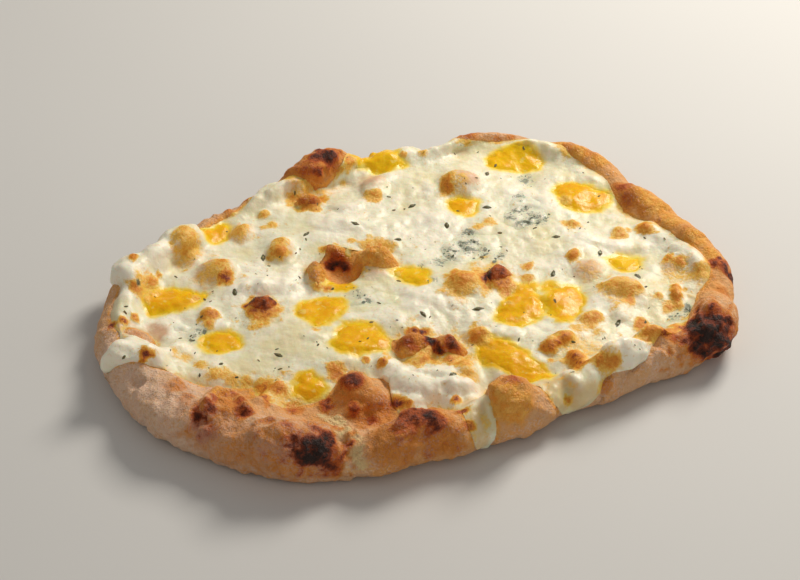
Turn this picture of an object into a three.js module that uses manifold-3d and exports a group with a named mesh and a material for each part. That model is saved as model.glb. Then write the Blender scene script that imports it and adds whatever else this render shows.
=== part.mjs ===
// A four cheese pizza on a long hand-stretched base, in millimetres, +Z up, lying on the XY plane.
// The dough is one solid: a thin floor, a puffed rim, and bubbles that rise into the topping.
// A sheet of melted white cheese lies on it and runs over the rim in places. Pools of yellow cheese
// and lumps of blue cheese lie in hollows of that sheet, and flakes of dried herb stick to it.

import * as THREE from "three";
import { mergeVertices } from "three/addons/utils/BufferGeometryUtils.js";
import Module from "manifold-3d";

const wasm = await Module();
wasm.setup();

// Driving dimensions of the dough

// Sizes round the rim, one every 15 degrees, anticlockwise from +X.
const RIM_REACH = [
  163, 156, 149, 151, 148, 135.5, 118, 120, 121, 117, 125, 134,
  157.5, 165.5, 164.5, 158, 148, 137.5, 121.5, 116, 113, 116.5, 130.5, 157,
];
const RIM_HEIGHT = [
  21, 20, 19, 18, 17, 19, 14, 15, 21, 16, 16, 18,
  19, 19, 22, 24, 27, 25, 25, 22, 22, 19, 20, 24,
];
const RIM_WIDTH = [
  29, 28, 27, 23, 22, 16, 18, 23, 26, 20, 18, 20,
  26, 29, 38, 42, 41, 34, 32, 29, 27, 25, 28, 33,
];
const DOUGH_FLOOR = 9; // thickness of the dough under the topping
const BASE_TUCK = 9; // how far the rim's foot lies in from its widest line
const WIDEST_SHARE = 0.42; // height of the widest line, as a share of the rim's height
const RIDGE_SHARE = 0.45; // distance from the widest line in to the ridge, as a share of the rim's width
const FLOOR_SWELL = 1.2; // how far the floor rises and falls
const RIM_SWELL = 0.9; // how far the rim swells and sinks by itself
const BUBBLE_SKIRT = 1.35; // how far a bubble's foot spreads past its toasted cap

// Creases across the rim between its puffed stretches: angle and half-width in degrees, depth in mm.
const CREASES = [
  { angle: 256, half: 5, depth: 8 },
  { angle: 285, half: 5, depth: 7 },
  { angle: 308, half: 8, depth: 6 },
  { angle: 357, half: 5, depth: 7 },
  { angle: 37, half: 6, depth: 3 },
  { angle: 104, half: 5, depth: 4 },
  { angle: 139, half: 5, depth: 3 },
  { angle: 182, half: 4, depth: 4 },
];

// Blisters on the rim: angle in degrees, run across the rim, half-length round it, half-width and height.
const BLISTERS = [
  { angle: 12, run: 2.0, long: 22, wide: 12, tall: 3 },
  { angle: 50, run: 2.0, long: 26, wide: 11, tall: 3 },
  { angle: 80, run: 2.0, long: 16, wide: 10, tall: 2 },
  { angle: 118, run: 1.8, long: 32, wide: 16, tall: 9.5 },
  { angle: 165, run: 2.2, long: 20, wide: 13, tall: 3 },
  { angle: 200, run: 2.2, long: 22, wide: 14, tall: 2 },
  { angle: 220, run: 2.4, long: 20, wide: 16, tall: 3 },
  { angle: 231, run: 1.25, long: 26, wide: 13, tall: 7 },
  { angle: 241, run: 2.4, long: 24, wide: 18, tall: 4 },
  { angle: 269, run: 2.2, long: 20, wide: 17, tall: 4 },
  { angle: 294, run: 2.0, long: 14, wide: 15, tall: 6 },
  { angle: 318, run: 2.3, long: 16, wide: 14, tall: 3 },
  { angle: 336, run: 1.8, long: 14, wide: 12, tall: 4 },
  { angle: 348, run: 2.3, long: 22, wide: 17, tall: 6 },
];

// Bubbles of dough under the topping: place on plan, half-length, half-width, rise over the dough floor,
// the turn of the long axis in degrees, and the share of the bubble that is bare of cheese.
const BUBBLES = [
  { x: -52, y: 9, long: 13, wide: 7, rise: 9, turn: 100, bare: 0.75 },
  { x: -43, y: 27, long: 11, wide: 6, rise: 9, turn: 10, bare: 0.6 },
  { x: -22, y: 20, long: 15, wide: 11, rise: 9, turn: -15, bare: 0.8 },
  { x: -40, y: 15, long: 8, wide: 7, rise: -5, turn: 0, bare: 1 },
  { x: -29, y: -77, long: 15, wide: 13, rise: 9, turn: 0, bare: 1 },
  { x: 43, y: -87, long: 13, wide: 12, rise: 8, turn: 10, bare: 1 },
  { x: -78, y: -16, long: 10, wide: 9, rise: 9, turn: 0, bare: 0.75 },
  { x: 22, y: 88, long: 12, wide: 9, rise: 9, turn: 20, bare: 0 },
  { x: 41, y: 7, long: 11, wide: 9, rise: 10, turn: 30, bare: 0.7 },
  { x: 24, y: 2, long: 9, wide: 8, rise: 7, turn: 0, bare: 0 },
  { x: -71, y: 32, long: 10, wide: 7, rise: 8, turn: 90, bare: 0 },
  { x: -58, y: 69, long: 13, wide: 7, rise: 8, turn: 5, bare: 0.65 },
  { x: -99, y: 12, long: 10, wide: 8, rise: 8, turn: 40, bare: 0 },
  { x: -117, y: 26, long: 11, wide: 8, rise: 5.5, turn: 60, bare: 0 },
  { x: -91, y: 47, long: 9, wide: 7, rise: 8, turn: 20, bare: 0 },
  { x: -23, y: 83, long: 12, wide: 9, rise: 7, turn: 50, bare: 0 },
  { x: -5, y: -46, long: 12, wide: 10, rise: 10, turn: 20, bare: 0.85 },
  { x: 14, y: -46, long: 12, wide: 9, rise: 10, turn: -25, bare: 0.85 },
  { x: 29, y: -34, long: 8, wide: 6, rise: 6, turn: 10, bare: 0 },
  { x: 101, y: -6, long: 13, wide: 9, rise: 6, turn: -20, bare: 0 },
  { x: 131, y: -6, long: 8, wide: 6, rise: 5, turn: 80, bare: 0 },
  { x: 75, y: -57, long: 9, wide: 7, rise: 7, turn: 70, bare: 0 },
  { x: 68, y: -43, long: 9, wide: 7, rise: 7, turn: 30, bare: 0 },
  { x: -136, y: -41, long: 15, wide: 8, rise: 4, turn: -27, bare: 0.6 },
];

// Driving dimensions of the topping

// How far out the white cheese reaches, every 15 degrees, as a run: 1 is the rim's inner foot, 2 its
// ridge, 3 its widest line and 4 the table.
const CHEESE_REACH = [
  1.8, 1.65, 1.45, 1.5, 2.1, 1.5, 2.7, 2.4, 1.3, 2.5, 1.7, 2.2,
  2.3, 2.1, 1.35, 1.02, 0.85, 0.85, 0.92, 1.2, 1.0, 2.2, 2.2, 1.6,
];
const CHEESE_THICK = 4.8;
const CHEESE_EDGE = 1.6; // thickness of the sheet's lip
const CHEESE_FILM = 1; // thickness over the top of a bubble
const CHEESE_LUMP = 0.9;
const CHEESE_WAVER = 0.1; // how far the lip wanders in and out, in runs
const LIP_RUN = 0.3; // how far in from the lip the sheet is full, in runs
const RUN_LENGTH = 15; // length of one run across the rim, near enough
const YELLOW_THICK = 3.4;
const YELLOW_SINK = 2.2; // depth of the hollow that a pool lies in
const BLUE_THICK = 3.2;
const BLUE_SINK = 1.6;
const TOPPING_EDGE = 0.8; // thickness of a pool or lump at its outline
const GAP = 0.3; // clearance between neighbouring solids

// Tongues of white cheese over the rim: angle and half-width in degrees, how far they run, and how much
// thicker than the sheet they are. Those that have run down the rim's face are thinner than it.
const TONGUES = [
  { angle: 203.5, half: 5.5, run: 2.8, thick: 2 },
  { angle: 177, half: 6, run: 2.9, thick: 2.5 },
  { angle: 166, half: 7, run: 2.6, thick: 1 },
  { angle: 285.5, half: 7.5, run: 3.7, thick: -2.6 },
  { angle: 311, half: 11, run: 3.4, thick: -2.4 },
  { angle: 328, half: 7, run: 2.4, thick: 3 },
  { angle: 272, half: 13, run: 1, thick: 3 },
];

// Pools of yellow cheese: place on plan, half-length, half-width, and the turn in degrees.
const POOLS = [
  { x: -107, y: 43, long: 9, wide: 8, turn: 10 },
  { x: -124, y: -12, long: 16, wide: 10, turn: 10 },
  { x: -97, y: -42, long: 11, wide: 8, turn: 12 },
  { x: -49, y: -19, long: 13, wide: 11, turn: 30 },
  { x: -29, y: -41, long: 14, wide: 13, turn: 0 },
  { x: -53, y: -73, long: 9, wide: 8, turn: 15 },
  { x: -40, y: 3, long: 8, wide: 7, turn: 10 },
  { x: -3, y: 8, long: 11, wide: 7, turn: -30 },
  { x: 24, y: 66, long: 9, wide: 8, turn: -20 },
  { x: -21, y: 104, long: 15, wide: 9, turn: 4 },
  { x: 53, y: 107, long: 16, wide: 10, turn: -8 },
  { x: 88, y: 74, long: 16, wide: 12, turn: -25 },
  { x: 107, y: 19, long: 9, wide: 8, turn: 0 },
  { x: 51, y: -16, long: 18, wide: 10.5, turn: 75 },
  { x: 73.5, y: -14, long: 16, wide: 10, turn: 80 },
  { x: 45, y: -57, long: 24, wide: 9, turn: -42 },
];

// Lumps of blue cheese, placed as the pools are.
const LUMPS = [
  { x: 56, y: 60, long: 16, wide: 12, turn: 70 },
  { x: 27, y: 31, long: 18, wide: 12, turn: 20 },
  { x: 131, y: -25, long: 9, wide: 6, turn: 25 },
  { x: -22, y: -10, long: 13, wide: 7, turn: 10 },
  { x: -117, y: -33, long: 8, wide: 5, turn: 20 },
];

// Dried herb flakes on the white cheese
const FLAKE_TRIES = 56;
const FLAKE_FIELD = 112; // radius on plan over which they are scattered
const FLAKE_LENGTH = [1.7, 2.8]; // shortest and longest half-length
const FLAKE_SEED = 7;

// Mesh density
const RIM_STEPS = 108;
const FLOOR_RINGS = 18;
const SLOPE_RINGS = 3;
const FACE_RINGS = 3;
const TUCK_RINGS = 2;

const LOOKS = {
  crust: { color: 0xc98a4b, roughness: 0.85, metalness: 0 },
  white_cheese: { color: 0xefe9d2, roughness: 0.4, metalness: 0 },
  yellow_cheese: { color: 0xf2b20f, roughness: 0.3, metalness: 0 },
  blue_cheese: { color: 0xc9cfc0, roughness: 0.5, metalness: 0 },
};

// Small helpers

const { degToRad, euclideanModulo, lerp, smoothstep } = THREE.MathUtils;
const UP = new THREE.Vector3(0, 0, 1);

// A smooth closed curve through values spaced evenly round the pizza.
function around(values, angle) {
  const count = values.length;
  const place = euclideanModulo((angle / (2 * Math.PI)) * count, count);
  const first = Math.floor(place);
  const t = place - first;
  const [a, b, c, d] = [-1, 0, 1, 2].map((k) => values[(first + k + count) % count]);
  const slopeIn = (c - a) / 2;
  const slopeOut = (d - b) / 2;
  const bend = 3 * (c - b) - 2 * slopeIn - slopeOut;
  const twist = 2 * (b - c) + slopeIn + slopeOut;
  return b + t * (slopeIn + t * (bend + t * twist));
}

// 1 at the middle of a feature on the rim, falling smoothly to 0 at its half-width.
function nearAngle(angle, feature) {
  const turn = euclideanModulo(angle - degToRad(feature.angle) + Math.PI, 2 * Math.PI) - Math.PI;
  return 1 - smoothstep(Math.abs(turn), 0, degToRad(feature.half));
}

// A round bump: 1 at distance 0, falling smoothly to 0 at distance 1.
function bump(distance) {
  return (1 - Math.min(1, distance) ** 2) ** 2;
}

// A repeatable source of numbers from 0 to 1.
function seeded(seed) {
  let state = seed;
  return () => {
    state = (Math.imul(state, 1664525) + 1013904223) >>> 0;
    return state / 2 ** 32;
  };
}

// How far a place on plan is from a feature's middle, where 1 is its wavy outline.
function spread(feature, x, y) {
  const turn = degToRad(feature.turn);
  const along = (x - feature.x) * Math.cos(turn) + (y - feature.y) * Math.sin(turn);
  const across = (y - feature.y) * Math.cos(turn) - (x - feature.x) * Math.sin(turn);
  const bearing = Math.atan2(across / feature.wide, along / feature.long);
  const wave = 1 + 0.1 * Math.sin(3 * bearing + feature.x) + 0.07 * Math.sin(5 * bearing + feature.y);
  return Math.hypot(along / feature.long, across / feature.wide) / wave;
}

// The dough's skin

// The rim's radii and heights at an angle.
function rimAt(angle) {
  const crease = CREASES.reduce((sum, c) => sum + c.depth * nearAngle(angle, c), 0);
  const reach = around(RIM_REACH, angle) - 0.5 * crease;
  const height = around(RIM_HEIGHT, angle) - 0.6 * crease;
  const width = around(RIM_WIDTH, angle);
  const foot = reach - width;
  const ridge = reach - RIDGE_SHARE * width;
  return { reach, height, foot, ridge, widest: WIDEST_SHARE * height };
}

// A point on the plain skin, before bubbles. The run is 0 at the centre, 1 at the rim's inner foot, 2 on
// its ridge, 3 at its widest line and 4 where it meets the table.
function skinPoint(angle, run) {
  const rim = rimAt(angle);
  let radius = rim.foot * run;
  let z = DOUGH_FLOOR;
  if (run > 3) {
    const turn = ((run - 3) * Math.PI) / 2;
    radius = rim.reach - BASE_TUCK * (1 - Math.cos(turn));
    z = rim.widest * (1 - Math.sin(turn));
  } else if (run > 2) {
    const turn = ((run - 2) * Math.PI) / 2;
    radius = rim.ridge + (rim.reach - rim.ridge) * Math.sin(turn);
    z = rim.widest + (rim.height - rim.widest) * Math.cos(turn);
  } else if (run > 1) {
    radius = lerp(rim.foot, rim.ridge, run - 1);
    z = lerp(DOUGH_FLOOR, rim.height, smoothstep(run, 1, 2));
  }
  return new THREE.Vector3(radius * Math.cos(angle), radius * Math.sin(angle), z);
}

// How far a blister pushes out the skin at a point.
function blisterHeight(blister, at) {
  const angle = degToRad(blister.angle);
  const offset = skinPoint(angle, blister.run).sub(at);
  const round = offset.dot(new THREE.Vector3(-Math.sin(angle), Math.cos(angle), 0));
  const across = Math.sqrt(Math.max(0, offset.lengthSq() - round ** 2));
  return blister.tall * bump(Math.hypot(round / blister.long, across / blister.wide));
}

function bubbleHeight(bubble, at) {
  return bubble.rise * bump(spread(bubble, at.x, at.y) / BUBBLE_SKIRT);
}

// How far the skin stands out from its plain shape.
function relief({ at, angle, run }) {
  const onFloor = 1 - smoothstep(run, 1, 2);
  const onRim = smoothstep(run, 1, 2) * (1 - smoothstep(run, 3, 3.8));
  const floorSwell = FLOOR_SWELL * Math.sin(at.x / 17 + 1) * Math.cos(at.y / 14);
  const rimSwell = RIM_SWELL * (Math.sin(17 * angle + 2 * run) + Math.sin(29 * angle - 3 * run));
  const bubbles = BUBBLES.reduce((sum, b) => sum + bubbleHeight(b, at), 0);
  const blisters = BLISTERS.reduce((sum, b) => sum + blisterHeight(b, at), 0);
  return onFloor * floorSwell + onRim * rimSwell + (1 - smoothstep(run, 3, 3.8)) * (bubbles + blisters);
}

// Sheets: points with the direction they are lifted in, and triangles that index them

// The rings of the skin from the centre out: each has a run and a number of points.
function skinRings() {
  const rings = [];
  for (let k = 1; k <= FLOOR_RINGS; k++) {
    rings.push({ run: k / FLOOR_RINGS, count: Math.round((RIM_STEPS * k) / FLOOR_RINGS) });
  }
  [SLOPE_RINGS, FACE_RINGS, TUCK_RINGS].forEach((steps, stretch) => {
    for (let k = 1; k <= steps; k++) rings.push({ run: 1 + stretch + k / steps, count: RIM_STEPS });
  });
  return rings;
}

// Joins two rings of points by triangles that face up, or outwards on the rim.
function stitch(triangles, inner, outer) {
  let i = 0;
  let j = 0;
  while (i < inner.count || j < outer.count) {
    const a = inner.first + (i % inner.count);
    const b = outer.first + (j % outer.count);
    if (i < inner.count && (i + 1) * outer.count <= (j + 1) * inner.count) {
      i += 1;
      triangles.push([a, b, inner.first + (i % inner.count)]);
    } else {
      j += 1;
      triangles.push([a, b, outer.first + (j % outer.count)]);
    }
  }
}

// Gives every point of a sheet the mean direction of the triangles round it.
function addNormals({ points, triangles }) {
  points.forEach((point) => (point.up = new THREE.Vector3()));
  for (const corners of triangles) {
    const [a, b, c] = corners.map((k) => points[k].at);
    const face = b.clone().sub(a).cross(c.clone().sub(a));
    corners.forEach((k) => points[k].up.add(face));
  }
  points.forEach((point) => point.up.normalize());
}

// A sheet's points moved along their directions by a distance that may differ from point to point.
function lift(sheet, distance) {
  const moved = (point) => ({ ...point, at: point.at.clone().addScaledVector(point.up, distance(point)) });
  return { ...sheet, points: sheet.points.map(moved) };
}

// The skin with its bubbles. Toppings are lifted straight up off the floor and square off the rim.
function skinSheet() {
  const points = [{ at: skinPoint(0, 0), angle: 0, run: 0 }];
  const triangles = [];
  let edge = { first: 0, count: 1 };
  for (const { run, count } of skinRings()) {
    const ring = { first: points.length, count };
    for (let k = 0; k < count; k++) {
      const angle = (2 * Math.PI * k) / count;
      points.push({ at: skinPoint(angle, run), angle, run });
    }
    if (edge.count > 1) stitch(triangles, edge, ring);
    else for (let k = 0; k < count; k++) triangles.push([0, ring.first + k, ring.first + ((k + 1) % count)]);
    edge = ring;
  }
  addNormals({ points, triangles });
  const skin = lift({ points, triangles, edge }, relief);
  addNormals(skin);
  skin.points.forEach((point) => point.up.lerp(UP, 1 - smoothstep(point.run, 1.4, 2.3)).normalize());
  return skin;
}

// The part of a sheet where inside(point) is positive. Triangles that the outline crosses are cut by it.
function clip(sheet, inside) {
  const depth = sheet.points.map(inside);
  const points = [];
  const triangles = [];
  const kept = new Map();
  const keep = (key, make) => {
    if (!kept.has(key)) kept.set(key, points.push(make()) - 1);
    return kept.get(key);
  };
  const corner = (k) => keep(`${k}`, () => ({ ...sheet.points[k], depth: depth[k] }));
  const crossing = (a, b) => {
    const [low, high] = a < b ? [a, b] : [b, a];
    const share = THREE.MathUtils.clamp(depth[low] / (depth[low] - depth[high]), 0.06, 0.94);
    const [from, to] = [sheet.points[low], sheet.points[high]];
    const at = from.at.clone().lerp(to.at, share);
    const up = from.up.clone().lerp(to.up, share).normalize();
    const run = lerp(from.run, to.run, share);
    return keep(`${low}-${high}`, () => ({ at, up, angle: from.angle, run, depth: 0 }));
  };
  for (const triangle of sheet.triangles) {
    const outline = [];
    triangle.forEach((a, k) => {
      const b = triangle[(k + 1) % 3];
      if (depth[a] > 0) outline.push(corner(a));
      if (depth[a] > 0 !== depth[b] > 0) outline.push(crossing(a, b));
    });
    for (let k = 2; k < outline.length; k++) triangles.push([outline[0], outline[k - 1], outline[k]]);
  }
  return { points, triangles };
}

// Solids

function solidOf(geometry) {
  const bare = geometry.clone();
  ["normal", "uv"].forEach((name) => bare.deleteAttribute(name));
  const welded = mergeVertices(bare);
  const vertProperties = welded.attributes.position.array;
  const triVerts = new Uint32Array(welded.index.array);
  return new wasm.Manifold(new wasm.Mesh({ numProp: 3, vertProperties, triVerts }));
}

function solidFrom(positions, triangles) {
  const coordinates = positions.flatMap((position) => position.toArray());
  const geometry = new THREE.BufferGeometry();
  geometry.setAttribute("position", new THREE.Float32BufferAttribute(coordinates, 3));
  geometry.setIndex(triangles.flat());
  return solidOf(geometry);
}

// The largest body of a solid: a scrap that lies apart from it is dropped.
function largest(solid) {
  return solid.decompose().reduce((best, body) => (body.volume() > best.volume() ? body : best));
}

// A closed shell between two sheets that share their triangles.
function shellBetween(under, over) {
  const count = under.points.length;
  const positions = [...under.points, ...over.points].map((point) => point.at);
  const triangles = [];
  const rim = new Map();
  for (const [a, b, c] of under.triangles) {
    triangles.push([a, c, b], [a + count, b + count, c + count]);
    for (const [p, q] of [[a, b], [b, c], [c, a]]) {
      if (!rim.delete(`${q}-${p}`)) rim.set(`${p}-${q}`, [p, q]);
    }
  }
  for (const [p, q] of rim.values()) triangles.push([p, q, q + count], [p, q + count, p + count]);
  return largest(solidFrom(positions, triangles));
}

// The skin, closed by a flat base on the table.
function crustSolid(skin) {
  const { first, count } = skin.edge;
  const positions = skin.points.map((point) => point.at);
  const middle = positions.push(new THREE.Vector3()) - 1;
  const base = [];
  for (let k = 0; k < count; k++) base.push([first + ((k + 1) % count), first + k, middle]);
  return solidFrom(positions, [...skin.triangles, ...base]);
}

// How far inside the white cheese a point of the skin lies, in runs: from the lip, and from bare bubbles.
function cheeseDepth({ at, angle, run }) {
  const waver = CHEESE_WAVER * (Math.sin(11 * angle) + 0.8 * Math.sin(19 * angle + 1));
  const plain = around(CHEESE_REACH, angle) + waver;
  const reach = TONGUES.reduce((far, t) => lerp(far, Math.max(far, t.run), nearAngle(angle, t)), plain);
  const bare = BUBBLES.filter((bubble) => bubble.bare > 0);
  const holes = bare.map((b) => ((spread(b, at.x, at.y) - b.bare) * b.wide) / RUN_LENGTH);
  return Math.min(reach - run, ...holes);
}

function cheeseThickness({ at, angle, run, depth }) {
  const lump = CHEESE_LUMP * Math.sin(at.x / 8 + Math.sin(at.y / 13)) * Math.cos(at.y / 10 + 0.4);
  const hollow = (feature, sink) => sink * (1 - smoothstep(spread(feature, at.x, at.y), 0.5, 1.3));
  const sunk =
    POOLS.reduce((most, p) => Math.max(most, hollow(p, YELLOW_SINK)), 0) +
    LUMPS.reduce((most, p) => Math.max(most, hollow(p, BLUE_SINK)), 0);
  const flap = TONGUES.reduce((sum, t) => sum + t.thick * nearAngle(angle, t), 0);
  const hanging = flap * smoothstep(run, 0.85, 1.1) * smoothstep(depth, 0, LIP_RUN);
  const film = BUBBLES.reduce((most, b) => Math.max(most, bump(spread(b, at.x, at.y) / BUBBLE_SKIRT)), 0);
  const full = lerp(CHEESE_EDGE, CHEESE_THICK + lump - sunk, smoothstep(depth, 0, LIP_RUN));
  return lerp(full, CHEESE_FILM, film) + hanging;
}

// A melted topping that lies in its hollow of the white cheese.
function toppingSolid(cheeseTop, feature, thick) {
  const spot = clip(cheeseTop, ({ at }) => 1 - spread(feature, at.x, at.y));
  const over = lift(spot, ({ depth }) => GAP + lerp(TOPPING_EDGE, thick, Math.sqrt(Math.min(1, depth))));
  return shellBetween(lift(spot, () => GAP), over);
}

// A sheet's point at a place on plan, or null where the sheet has none.
function pointOn(sheet, x, y) {
  const place = new THREE.Vector3(x, y, 0);
  const flat = new THREE.Triangle();
  for (const triangle of sheet.triangles) {
    const corners = triangle.map((k) => sheet.points[k].at);
    flat.set(...corners.map((at) => at.clone().setZ(0)));
    if (!flat.containsPoint(place)) continue;
    const shares = flat.getBarycoord(place, new THREE.Vector3()).toArray();
    return corners.reduce((sum, at, k) => sum.addScaledVector(at, shares[k]), new THREE.Vector3());
  }
  return null;
}

// Leaf-shaped herb flakes, spread by the golden angle, on bare white cheese only.
function flakeSolids(cheeseTop) {
  const random = seeded(FLAKE_SEED);
  const golden = Math.PI * (3 - Math.sqrt(5));
  const flakes = [];
  for (let k = 0; k < FLAKE_TRIES; k++) {
    const radius = FLAKE_FIELD * Math.sqrt((k + 0.5) / FLAKE_TRIES);
    const x = radius * Math.cos(k * golden);
    const y = radius * Math.sin(k * golden);
    const half = lerp(...FLAKE_LENGTH, random());
    const turn = 2 * Math.PI * random();
    const clear = [...POOLS, ...LUMPS, ...BUBBLES].every((feature) => spread(feature, x, y) > 1.4);
    const at = clear ? pointOn(cheeseTop, x, y) : null;
    if (!at) continue;
    const flake = new THREE.OctahedronGeometry(1).scale(half, 0.4 * half, 0.6).rotateZ(turn);
    flakes.push(solidOf(flake.translate(at.x, at.y, at.z + 0.2)));
  }
  return flakes;
}

// The pizza

function meshOf(name, solid, look) {
  const made = solid.getMesh();
  const geometry = new THREE.BufferGeometry();
  geometry.setAttribute("position", new THREE.BufferAttribute(new Float32Array(made.vertProperties), 3));
  geometry.setIndex(new THREE.BufferAttribute(new Uint32Array(made.triVerts), 1));
  geometry.computeVertexNormals();
  const mesh = new THREE.Mesh(geometry, new THREE.MeshStandardMaterial(LOOKS[look]));
  mesh.name = name;
  return mesh;
}

const numbered = (look, index) => `${look}_${String(index + 1).padStart(2, "0")}`;

const skin = skinSheet();
const cheeseFoot = clip(skin, cheeseDepth);
const cheeseTop = lift(cheeseFoot, (point) => GAP + cheeseThickness(point));
const cheeseSheet = shellBetween(lift(cheeseFoot, () => GAP), cheeseTop);
const cheese = flakeSolids(cheeseTop).reduce((solid, flake) => solid.add(flake), cheeseSheet);

const pizza = new THREE.Group();
pizza.name = "four_cheese_pizza";
pizza.add(meshOf("crust", crustSolid(skin), "crust"));
pizza.add(meshOf("white_cheese", cheese, "white_cheese"));
POOLS.forEach((pool, k) => {
  const solid = toppingSolid(cheeseTop, pool, YELLOW_THICK);
  pizza.add(meshOf(numbered("yellow_cheese", k), solid, "yellow_cheese"));
});
LUMPS.forEach((lump, k) => {
  const solid = toppingSolid(cheeseTop, lump, BLUE_THICK);
  pizza.add(meshOf(numbered("blue_cheese", k), solid, "blue_cheese"));
});

// The origin is on the table under the middle of the pizza's outline.
const middle = new THREE.Box3().setFromObject(pizza).getCenter(new THREE.Vector3());
pizza.position.set(-middle.x, -middle.y, 0);

export default pizza;
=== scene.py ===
# %% [markdown]
# # A four cheese pizza
# A hand-stretched base with a puffed and toasted rim carries a sheet of melted white cheese. Pools of
# yellow cheese, lumps of blue cheese and flakes of dried herb lie in it. The solids already give each
# layer its size and place, so this lesson makes finer copies of them, roughens their skins as an oven
# does, and paints them with procedural materials.

# %% Load the solids
import math
import random

import bmesh
import bpy
import numpy as np
from mathutils import Matrix, Quaternion, Vector, noise
from mathutils.bvhtree import BVHTree
from mathutils.kdtree import KDTree


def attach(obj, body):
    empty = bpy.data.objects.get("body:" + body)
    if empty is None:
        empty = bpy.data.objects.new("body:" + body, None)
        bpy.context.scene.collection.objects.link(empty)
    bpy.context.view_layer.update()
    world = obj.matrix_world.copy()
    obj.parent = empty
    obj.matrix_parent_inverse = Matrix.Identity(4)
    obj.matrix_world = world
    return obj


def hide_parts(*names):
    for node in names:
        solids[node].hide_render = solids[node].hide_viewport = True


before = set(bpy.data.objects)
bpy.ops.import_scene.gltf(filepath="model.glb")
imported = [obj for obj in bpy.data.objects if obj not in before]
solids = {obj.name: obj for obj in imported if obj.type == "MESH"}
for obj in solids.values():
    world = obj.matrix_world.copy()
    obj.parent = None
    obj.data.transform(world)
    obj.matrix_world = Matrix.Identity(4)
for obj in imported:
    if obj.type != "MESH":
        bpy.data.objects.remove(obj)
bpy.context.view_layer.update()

MM = 0.001
scene = bpy.context.scene

# %% [markdown]
# ## Camera
# The picture looks down at the pizza by 40 degrees through a short telephoto lens. The same numbers
# give the line of sight through any point of the picture, so a toasted spot can be named by where it
# is seen, and found on a surface by casting a ray.

# %% Camera
PICTURE = (800, 580)
MIDDLE = (PICTURE[0] / 2, PICTURE[1] / 2)
LENS = 89.08
SENSOR = 36
EYE = Vector((-9.4, -771.5, 657.3)) * MM
LOOK_DOWN = math.radians(40)
PIXEL = SENSOR / LENS / PICTURE[0]  # width of a pixel, seen from a distance of 1


def add_object(name, data):
    """A new object in the scene."""
    made = bpy.data.objects.new(name, data)
    scene.collection.objects.link(made)
    return made


camera = add_object("camera", bpy.data.cameras.new("camera"))
camera.data.lens = LENS
camera.data.sensor_width = SENSOR
camera.location = EYE
camera.rotation_euler = (math.pi / 2 - LOOK_DOWN, 0, 0)
scene.camera = camera


def line_of_sight(u, v):
    """Direction from the eye through a point of the picture, in pixels from its upper left."""
    ray = Vector(((u - MIDDLE[0]) * PIXEL, (MIDDLE[1] - v) * PIXEL, -1))
    ray.rotate(camera.rotation_euler)
    return ray.normalized()


def tree_of(pieces):
    """A search tree of the surfaces of some pieces."""
    shape = bmesh.new()
    for piece in pieces:
        shape.from_mesh(piece.data)
    tree = BVHTree.FromBMesh(shape)
    shape.free()
    return tree


surface = tree_of(solids.values())
SEEN = 0.52 * MM  # size of one pixel on the pizza
RIM_LEVEL = 15 * MM


def seen_at(u, v):
    """The place on the surface that the picture shows at a pixel, or the nearest where it just misses."""
    way = line_of_sight(u, v)
    place, _, _, _ = surface.ray_cast(EYE, way)
    if place is None:
        place, _, _, _ = surface.find_nearest(EYE + way * (RIM_LEVEL - EYE.z) / way.z)
    return place


print("the middle of the picture meets the pizza at", [round(c / MM) for c in seen_at(*MIDDLE)], "mm")

# %% [markdown]
# ## Light and ground
# Melted cheese shows its form by soft highlights, so one large lamp stands behind and to the right,
# as a window would, and a pale surround and two weak lamps fill the shadows. The ground is plain.

# %% Light and ground
SURROUND_COLOUR = (1, 0.98, 0.95, 1)
SURROUND_STRENGTH = 0.27
TABLE_REACH = 4

surround = bpy.data.worlds.new("surround")
surround.use_nodes = True
backdrop = surround.node_tree.nodes["Background"]
backdrop.inputs["Color"].default_value = SURROUND_COLOUR
backdrop.inputs["Strength"].default_value = SURROUND_STRENGTH
scene.world = surround
scene.view_settings.view_transform = "Standard"


def lamp(name, place, size, power, colour):
    """A square soft lamp that shines at the middle of the pizza."""
    light = bpy.data.lights.new(name, "AREA")
    light.size = size
    light.energy = power
    light.color = colour
    holder = add_object(name, light)
    holder.location = place
    holder.rotation_euler = Vector(place).to_track_quat("Z", "Y").to_euler()


def mesh_of(name, shape):
    """A mesh made of a finished bmesh, which is then freed."""
    mesh = bpy.data.meshes.new(name)
    shape.to_mesh(mesh)
    shape.free()
    return mesh


lamp("window", (0.52, 0.68, 0.76), size=0.42, power=12.0, colour=(1, 0.95, 0.87))
lamp("fill", (-0.9, -0.5, 0.9), size=0.9, power=1.1, colour=(1, 0.97, 0.94))
lamp("front", (0.9, -0.9, 0.5), size=0.8, power=1.7, colour=(1, 0.95, 0.88))

plane = bmesh.new()
bmesh.ops.create_grid(plane, x_segments=1, y_segments=1, size=TABLE_REACH)
table = add_object("table", mesh_of("table", plane))
print("lamps:", len(bpy.data.lights), "and a table of", 2 * TABLE_REACH, "m")

# %% [markdown]
# ## Sums on sockets
# A material is a graph of nodes. Writing it as arithmetic is easier to read, so this class wraps a
# socket: adding or multiplying two of them adds a Math node. Every other node comes from one method.

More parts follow.
